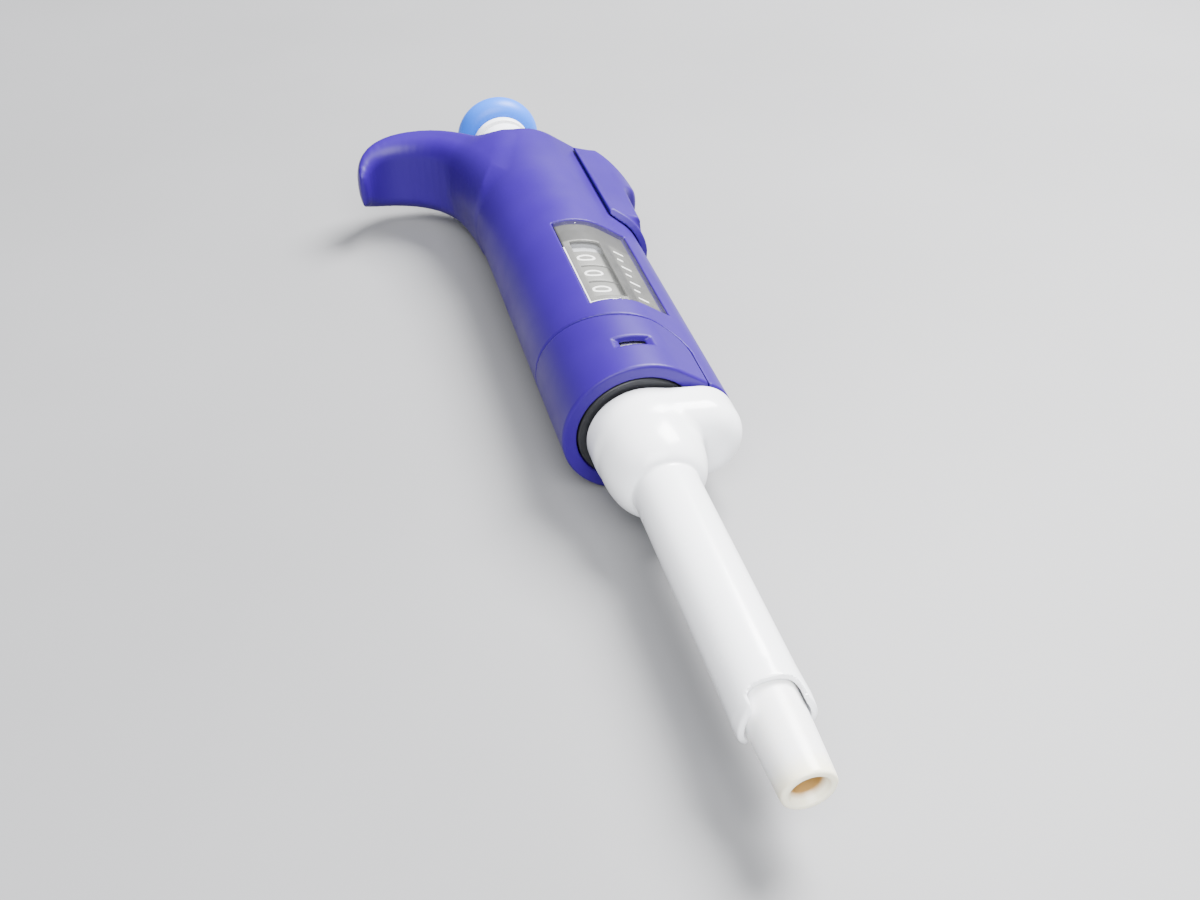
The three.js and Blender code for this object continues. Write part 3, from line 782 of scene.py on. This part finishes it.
# ---------------------------------------------------------------------------
# Push button
# ---------------------------------------------------------------------------
SKIRT_TALL, SKIRT_WIDE, FOOT_R = 4.2, 3.6, 8.1
SKIRT_STEPS, DOME_STEPS = 13, 24
SOCKET_R, SOCKET_DEEP = 6.5, 6.3
cap = [(0, CAP_LOW + SOCKET_DEEP, 0), (SOCKET_R, CAP_LOW + SOCKET_DEEP, 0.2), (SOCKET_R, CAP_LOW, 0.25)]
for k in range(SKIRT_STEPS):
    angle = k / SKIRT_STEPS * math.pi / 2
    skirt = SKIRT_TALL * math.cos(angle)
    cap.append((FOOT_R + SKIRT_WIDE * math.sin(angle), CAP_LOW + SKIRT_TALL - skirt, 0))
for k in range(DOME_STEPS):
    angle = k / DOME_STEPS * math.pi / 2
    dome = (CAP_TOP - CAP_LOW - SKIRT_TALL) * math.sin(angle)
    cap.append((CAP_R * math.cos(angle), CAP_LOW + SKIRT_TALL + dome, 0))
cap.append((0, CAP_TOP, 0))
turned("press_cap", cap, "plunger", cap_blue, "cap_plastic", "button_cap")
turned("press_ring", [
    (SOCKET_R, CAP_LOW - 2.4, 0.2), (8.2, CAP_LOW - 2.4, 0.3),
    (8.2, CAP_LOW - 0.3, 0.35), (SOCKET_R, CAP_LOW - 0.3, 0.2),
], "plunger", white, "white_plastic", "button_ring")
turned("press_stem", [
    (0, 194.3, 0), (2.3, 194.3, 0.2), (2.3, 186, 0.2), (7.8, 186, 0.5), (7.8, CAP_LOW - 3.4, 0.5),
    (6.2, CAP_LOW - 3.4, 0.2), (6.2, CAP_LOW + 6, 0.3), (0, CAP_LOW + 6, 0),
], "plunger", stem_white, "white_plastic", "button_stem")
turned("neck_bush", [
    (8.3, 194.8, 0.3), (13.5, 194.8, 0.3), (13.5, 197.7, 0.3),
    (9.5, 197.7, 0.2), (9.5, 204.8, 0.3), (8.3, 204.8, 0.35),
], "handle", white, "white_plastic", "top_bush")

# ---------------------------------------------------------------------------
# Number wheels: ten digits round each, the tick marks printed beside them, and painted highlights along the
# window's left and lower edges
# ---------------------------------------------------------------------------
WHEEL_R, WHEEL_BORE, WHEEL_HALF = 13.4, 9.8, 3.15
WHEEL_Y = {"coarse": 122.4, "middle": 129.2, "fine": 136.0}
WHEEL_BODY = {"coarse": "coarse_wheel", "middle": "middle_wheel", "fine": "adjuster"}
DIGIT_WIDE, DIGIT_TALL = 2.6, 4.5
DIGIT_DEPTH, DIGIT_RAISED, DIGIT_CLEAR = 0.02, 0.03, 0.01
DIGIT_CUTS = 10
DIGIT_X = 1.75
ZERO_AT = -math.asin(DIGIT_X / WHEEL_R)


def flat_digit(text):
    """Vertices and faces of a digit lying in the XY plane, a little thick."""
    letter = bpy.data.curves.new("letter", "FONT")
    letter.body = text
    letter.extrude = DIGIT_DEPTH
    letter.resolution_u = 5
    holder = bpy.data.objects.new("letter", letter)
    bpy.context.scene.collection.objects.link(holder)
    graph = bpy.context.evaluated_depsgraph_get()
    mesh = bpy.data.meshes.new_from_object(holder.evaluated_get(graph))
    bpy.data.objects.remove(holder)
    return mesh


def bounds_of(mesh):
    """The lowest and highest corner of a mesh."""
    co = np.array([v.co for v in mesh.vertices])
    return co.min(0), co.max(0)


def sliced(mesh, count):
    """The mesh cut across its height, so that it can bend."""
    low, high = bounds_of(mesh)
    work = bmesh.new()
    work.from_mesh(mesh)
    bmesh.ops.remove_doubles(work, verts=work.verts, dist=1e-5)
    for k in range(1, count):
        height = low[1] + (high[1] - low[1]) * k / count
        everything = work.verts[:] + work.edges[:] + work.faces[:]
        plane = {"plane_co": (0, height, 0), "plane_no": (0, 1, 0)}
        bmesh.ops.bisect_plane(work, geom=everything, dist=1e-6, **plane)
    points = np.array([v.co for v in work.verts])
    work.verts.index_update()
    faces = [[v.index for v in f.verts] for f in work.faces]
    work.free()
    return points, faces


zero_low, zero_high = bounds_of(flat_digit("0"))
across = DIGIT_WIDE / (zero_high[0] - zero_low[0])
upward = DIGIT_TALL / (zero_high[1] - zero_low[1])
for wheel, middle_y in WHEEL_Y.items():
    points, faces = [], []
    for value in range(10):
        mesh = flat_digit(str(value))
        low, high = bounds_of(mesh)
        flat, polygons = sliced(mesh, DIGIT_CUTS)
        sideways = (flat[:, 0] - (low[0] + high[0]) / 2) * across
        up = (flat[:, 1] - (zero_low[1] + zero_high[1]) / 2) * upward
        radius = WHEEL_R + DIGIT_CLEAR + flat[:, 2] / DIGIT_DEPTH * DIGIT_RAISED
        angle = ZERO_AT + value * math.pi / 5 + up / WHEEL_R
        start = len(points)
        points.extend(zip(-np.sin(angle) * radius, middle_y + sideways, np.cos(angle) * radius))
        faces.extend([[start + v for v in f] for f in polygons])
    piece(f"digits_{wheel}", points, faces, WHEEL_BODY[wheel], print_and_highlight_white, "wheel_plastic")
    turned(f"wheel_{wheel}", [
        (WHEEL_BORE, middle_y - WHEEL_HALF, 0.2), (WHEEL_R, middle_y - WHEEL_HALF, 0.3),
        (WHEEL_R, middle_y + WHEEL_HALF, 0.3), (WHEEL_BORE, middle_y + WHEEL_HALF, 0.2),
    ], WHEEL_BODY[wheel], wheel_grey, "wheel_plastic", f"counter_wheel_{wheel}")


def surface_height(x, offset):
    """Z of the grip's outside at x, moved out by offset."""
    low, high = np.zeros_like(x), np.full_like(x, 20.0)
    for _ in range(40):
        middle = (low + high) / 2
        outside = grip_section(x, middle) > offset
        low, high = np.where(outside, low, middle), np.where(outside, middle, high)
    return (low + high) / 2


BAR_COLUMNS = 7
PLATE_FACE, BAR_THICK = -1.1, 0.04
BAR_UNDER, BAR_OVER = -1.12, PLATE_FACE + BAR_THICK
TICKS, TICK_LOW, TICK_STEP, TICK_HALF = 7, 119.0, 3.4, 0.3
TICK_LEFT, TICK_LONG, TICK_SHORT = 9.2, 11.6, 10.6
# painted highlights: white bars along the window's left and lower edges, where the lens edge catches light
PAINTED_EDGE_HIGHLIGHTS = [(-2.75, -2.45, 115.7, 139.6), (-2.75, 4.6, 115.75, 116.05)]


def printed_bar(x0, x1, y0, y1):
    """A thin bar on the mask's outer face: a printed tick, or a painted highlight along the window's edge."""
    xs = np.linspace(x0, x1, BAR_COLUMNS)
    points, faces = [], []
    for offset in (BAR_UNDER, BAR_OVER):
        for y in (y0, y1):
            points.extend(zip(xs, np.full(BAR_COLUMNS, y), surface_height(xs, offset)))
    last = BAR_COLUMNS - 1
    a, b, c, d = (BAR_COLUMNS * i for i in range(4))
    for i in range(last):
        faces += [[a + i, b + i, b + i + 1, a + i + 1], [c + i, c + i + 1, d + i + 1, d + i],
                  [a + i, a + i + 1, c + i + 1, c + i], [b + i, d + i, d + i + 1, b + i + 1]]
    faces += [[a, c, d, b], [a + last, b + last, d + last, c + last]]
    return points, faces


ticks = []
for k in range(TICKS):
    y = TICK_LOW + k * TICK_STEP
    ticks.append((TICK_LEFT, TICK_LONG if k % 2 == 0 else TICK_SHORT, y - TICK_HALF, y + TICK_HALF))
points, faces = [], []
for bar in ticks + PAINTED_EDGE_HIGHLIGHTS:
    bar_points, bar_faces = printed_bar(*bar)
    faces.extend([[len(points) + v for v in f] for f in bar_faces])
    points.extend(bar_points)
# the printed ticks and the painted edge highlights, in one white material
piece("window_ticks_and_highlights", points, faces, "handle", print_and_highlight_white, "mask_plastic")


# ---------------------------------------------------------------------------
# Springs
# ---------------------------------------------------------------------------
CLOSED_TURNS = 0.8
SPRING_LOW, MAIN_LONG = 119.4, 34.3
RETURN_LOW, RETURN_LONG = 119.3, 23.8


def coil(name, radius, wire, low, high, turns, at_x, body, *nodes):
    """A wire spring with a closed coil at each end."""
    per_turn, round_wire = 40, 10
    total = turns + 2 * CLOSED_TURNS
    n = int(total * per_turn)
    share = np.linspace(0, total, n + 1)
    flat = 2.1 * wire
    bends = [0, CLOSED_TURNS, total - CLOSED_TURNS, total]
    heights = np.interp(share, bends, [low + wire, low + flat, high - flat, high - wire])
    points, faces = [], []
    for s, y in zip(share, heights):
        a = 2 * math.pi * s
        centre = np.array([at_x + radius * math.cos(a), y, radius * math.sin(a)])
        outwards = np.array([math.cos(a), 0, math.sin(a)])
        for k in range(round_wire):
            w = 2 * math.pi * k / round_wire
            points.append(centre + wire * (math.cos(w) * outwards + math.sin(w) * np.array([0, 1, 0])))
    for i in range(n):
        for k in range(round_wire):
            m = (k + 1) % round_wire
            a, b = i * round_wire, (i + 1) * round_wire
            faces.append([a + k, a + m, b + m, b + k])
    faces.append(list(range(round_wire))[::-1])
    faces.append([n * round_wire + k for k in range(round_wire)])
    obj = piece(name, points, faces, body, steel, "steel", *nodes)
    outward(obj)
    return obj


main = coil("main_spring", 6.2, 0.5, SPRING_LOW, 153.7, 7, 0, "handle", "primary_spring")
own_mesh(main)
side = coil("return_spring", 1.85, 0.3, RETURN_LOW, 143.1, 9, ROD_X, "handle", "ejector_spring")
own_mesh(side)
coil("relief_spring", 4, 0.38, SPRING_LOW, 123.7, 1.6, 0, "handle", "blowout_spring")

# ---------------------------------------------------------------------------
# CAD pieces inside, which keep their shape
# ---------------------------------------------------------------------------
KEPT = {
    "counter_axle": inner, "drive_sleeve": inner, "chassis_tube": inner, "piston": inner,
    "stop_nut": turned_brass, "spring_collar": turned_brass, "plunger_rod": steel, "blowout_washer": steel,
    "ejector_rod": steel, "ejector_clip": steel, "piston_seal": black,
}
for node, material in KEPT.items():
    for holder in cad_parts[node].material_slots:
        holder.material = material

# ---------------------------------------------------------------------------
# Floor, lights and camera, in metres; the camera's place is given in the pipette's frame
# ---------------------------------------------------------------------------
FLOOR_HALF = 3
floor_corners = [(FLOOR_HALF * x, FLOOR_HALF * y, 0) for x, y in ((-1, -1), (1, -1), (1, 1), (-1, 1))]
floor_mesh = bpy.data.meshes.new("floor")
floor_mesh.from_pydata(floor_corners, [], [(0, 1, 2, 3)])
floor = bpy.data.objects.new("floor", floor_mesh)
bpy.context.scene.collection.objects.link(floor)
pale = Nodes("pale_floor", 0.55)
clouds = pale.span(pale.noise(9, 4), 0.35, 0.65, 0, 1)
pale.colour(pale.blend(clouds, (0.21, 0.21, 0.214), (0.225, 0.225, 0.23)))
floor_mesh.materials.append(pale.material)

world = bpy.data.worlds.new("studio")
world.use_nodes = True
world.node_tree.nodes["Background"].inputs["Color"].default_value = (0.93, 0.95, 1.0, 1)
world.node_tree.nodes["Background"].inputs["Strength"].default_value = 0.26
bpy.context.scene.world = world


def area_light(name, place, target, size, power, colour=(1, 1, 1)):
    light = bpy.data.lights.new(name, "AREA")
    light.size = size
    light.energy = power
    light.color = colour
    obj = bpy.data.objects.new(name, light)
    obj.location = place
    obj.rotation_euler = (Vector(target) - Vector(place)).to_track_quat("-Z", "Y").to_euler()
    bpy.context.scene.collection.objects.link(obj)


area_light("key", (0.5, 0.32, 0.8), (0, 0, 0), 0.5, 58)
area_light("fill", (-0.12, -0.7, 0.85), (0, 0, 0), 0.9, 36, (0.97, 0.98, 1))

camera_data = bpy.data.cameras.new("camera")
camera_data.sensor_width = 36
camera_data.lens = 36.6
camera_data.clip_start = 0.01
camera = bpy.data.objects.new("camera", camera_data)
forward = Vector((0.205, 0.736, -0.645)).normalized()
right = Vector((0.963, -0.268, 0.0)).normalized()
up = right.cross(forward)
place = row((-59.9, -97.3, 159.5))
camera.matrix_world = Matrix((
    (right.x, up.x, -forward.x, place[0]),
    (right.y, up.y, -forward.y, place[1]),
    (right.z, up.z, -forward.z, place[2]),
    (0, 0, 0, 1),
))
bpy.context.scene.collection.objects.link(camera)
bpy.context.scene.camera = camera
